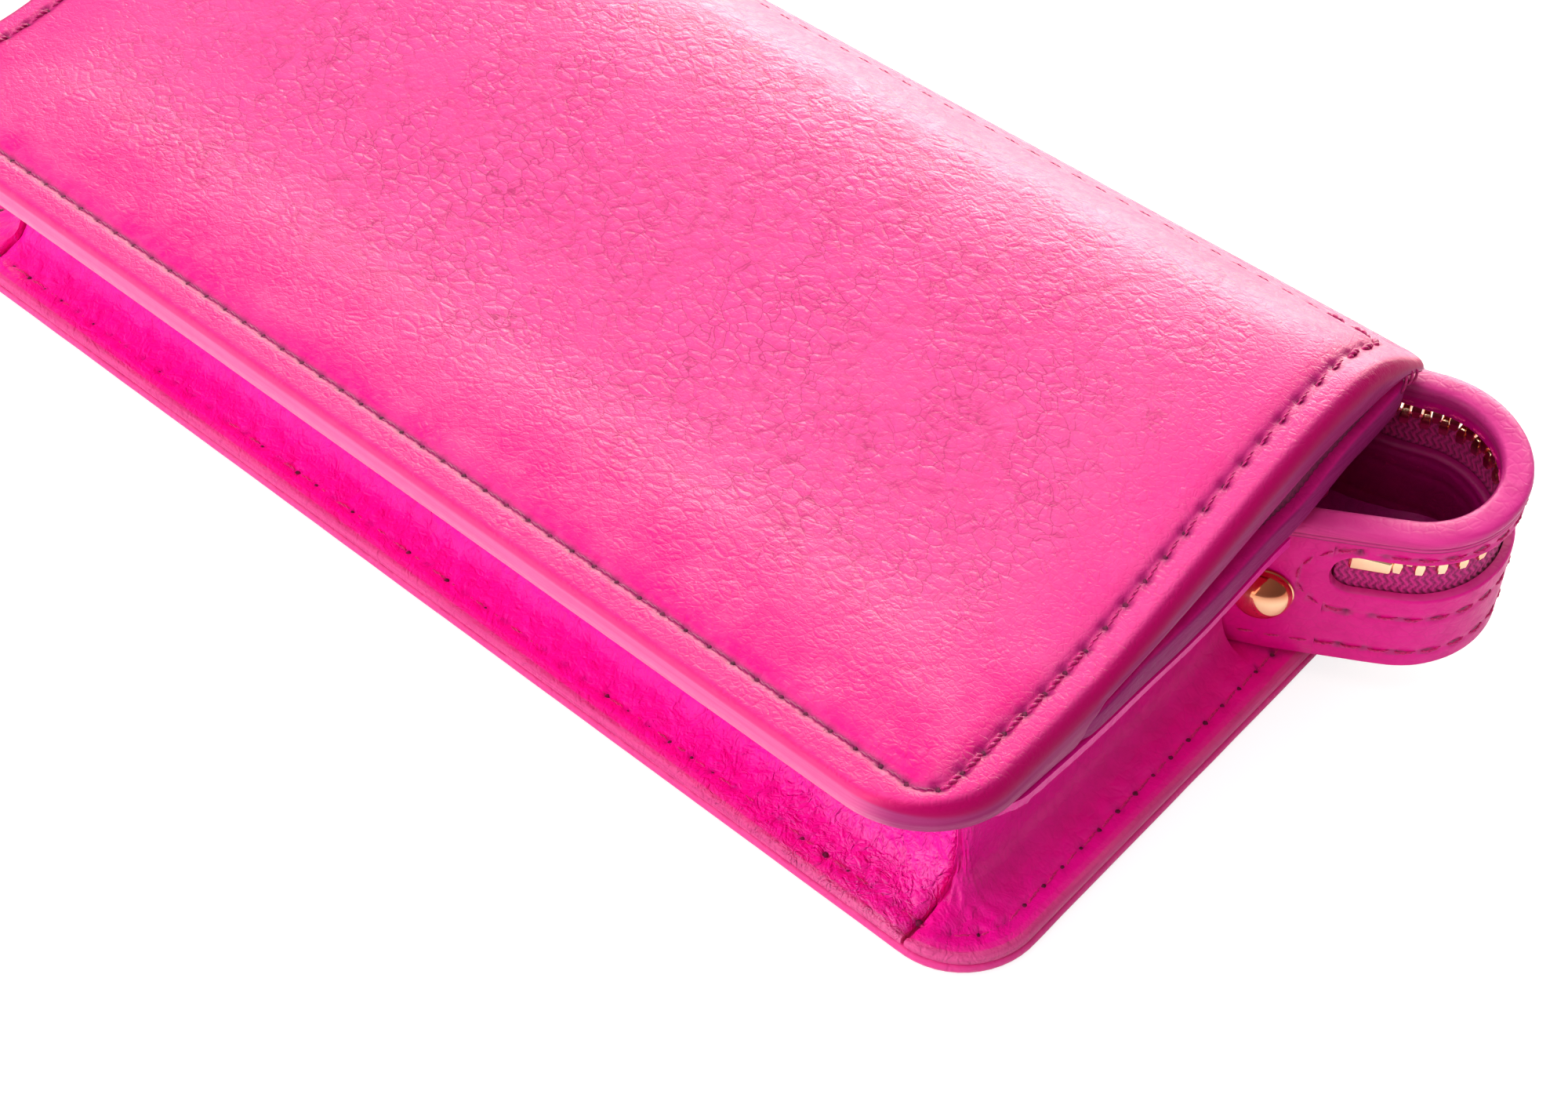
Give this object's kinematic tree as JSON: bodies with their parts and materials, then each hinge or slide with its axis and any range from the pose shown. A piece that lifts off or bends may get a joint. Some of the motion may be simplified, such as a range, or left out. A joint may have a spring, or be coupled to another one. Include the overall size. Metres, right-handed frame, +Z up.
{
  "type": "wristlet wallet",
  "caption": "Long leather zip wallet with a padded hinged cover, gusseted sides, a zip band looping past the back corners and gold hardware.",
  "frame": {"origin": "centre of the bottom cover's footprint, on its underside", "axes": "+X along the length, +Y towards the zip side, +Z up through the cover"},
  "size_m": [0.2262, 0.1023, 0.0445],
  "materials": {
    "top_leather": "pebbled grain, satin, tonal stitching, wear along the folded edges",
    "panel_edge": "smooth burnished and painted edge",
    "gusset_leather": "smooth to crinkled glove leather, semi-gloss",
    "lining": "fine twill lining",
    "board": "bonded stiffener board",
    "tape": "herringbone woven zip tape",
    "gold": "polished rose-gold plate"
  },
  "bodies": {
    "body": {"bottom_cover": "top_leather", "bottom_board": "board", "bottom_lining": "lining", "note_pocket": "gusset_leather", "body_card_pocket_back": "gusset_leather", "body_card_pocket_front": "gusset_leather", "centre_pouch": "lining", "front_gusset": "gusset_leather", "side_gusset_right": "gusset_leather", "side_gusset_left": "gusset_leather", "back_gusset": "gusset_leather", "zip_band_lower_outer": "gusset_leather", "zip_band_lower_inner": "lining", "zip_tape_lower": "tape", "zip_teeth_lower": "gold", "rivet_cap_right": "gold", "rivet_cap_left": "gold", "rivet_post_right": "gold", "rivet_post_left": "gold", "zip_end_box": "gold", "zip_top_stop_lower": "gold"},
    "cover": {"top_cover": "top_leather", "cover_board": "board", "cover_facing": "panel_edge", "inner_panel": "panel_edge", "cover_lining": "lining", "cover_card_pocket_back": "gusset_leather", "cover_card_pocket_middle": "gusset_leather", "cover_card_pocket_front": "gusset_leather", "pocket_trim_right": "tape", "pocket_trim_left": "tape", "zip_band_upper_outer": "gusset_leather", "zip_band_upper_inner": "lining", "zip_tape_upper": "tape", "zip_teeth_upper": "gold", "zip_top_stop_upper": "gold"},
    "slider": {"zip_slider": "gold"},
    "pull": {"pull_link": "gold", "pull_tab": "top_leather"}
  },
  "joints": [
    {"name": "cover_hinge", "type": "hinge", "parent": "body", "child": "cover", "pos_m": [0, -0.0495, 0.0266], "axis": [1, 0, 0], "range_deg": [0, 20]},
    {"name": "zip_slide", "type": "slide", "parent": "body", "child": "slider", "axis": [1, 0, 0], "range_m": [0, 0.152]},
    {"name": "pull_swing", "type": "hinge", "parent": "slider", "child": "pull", "pos_m": [-0.076, 0.04447, 0.0269], "axis": [0, 0, 1], "range_deg": [0, 162]}
  ]
}
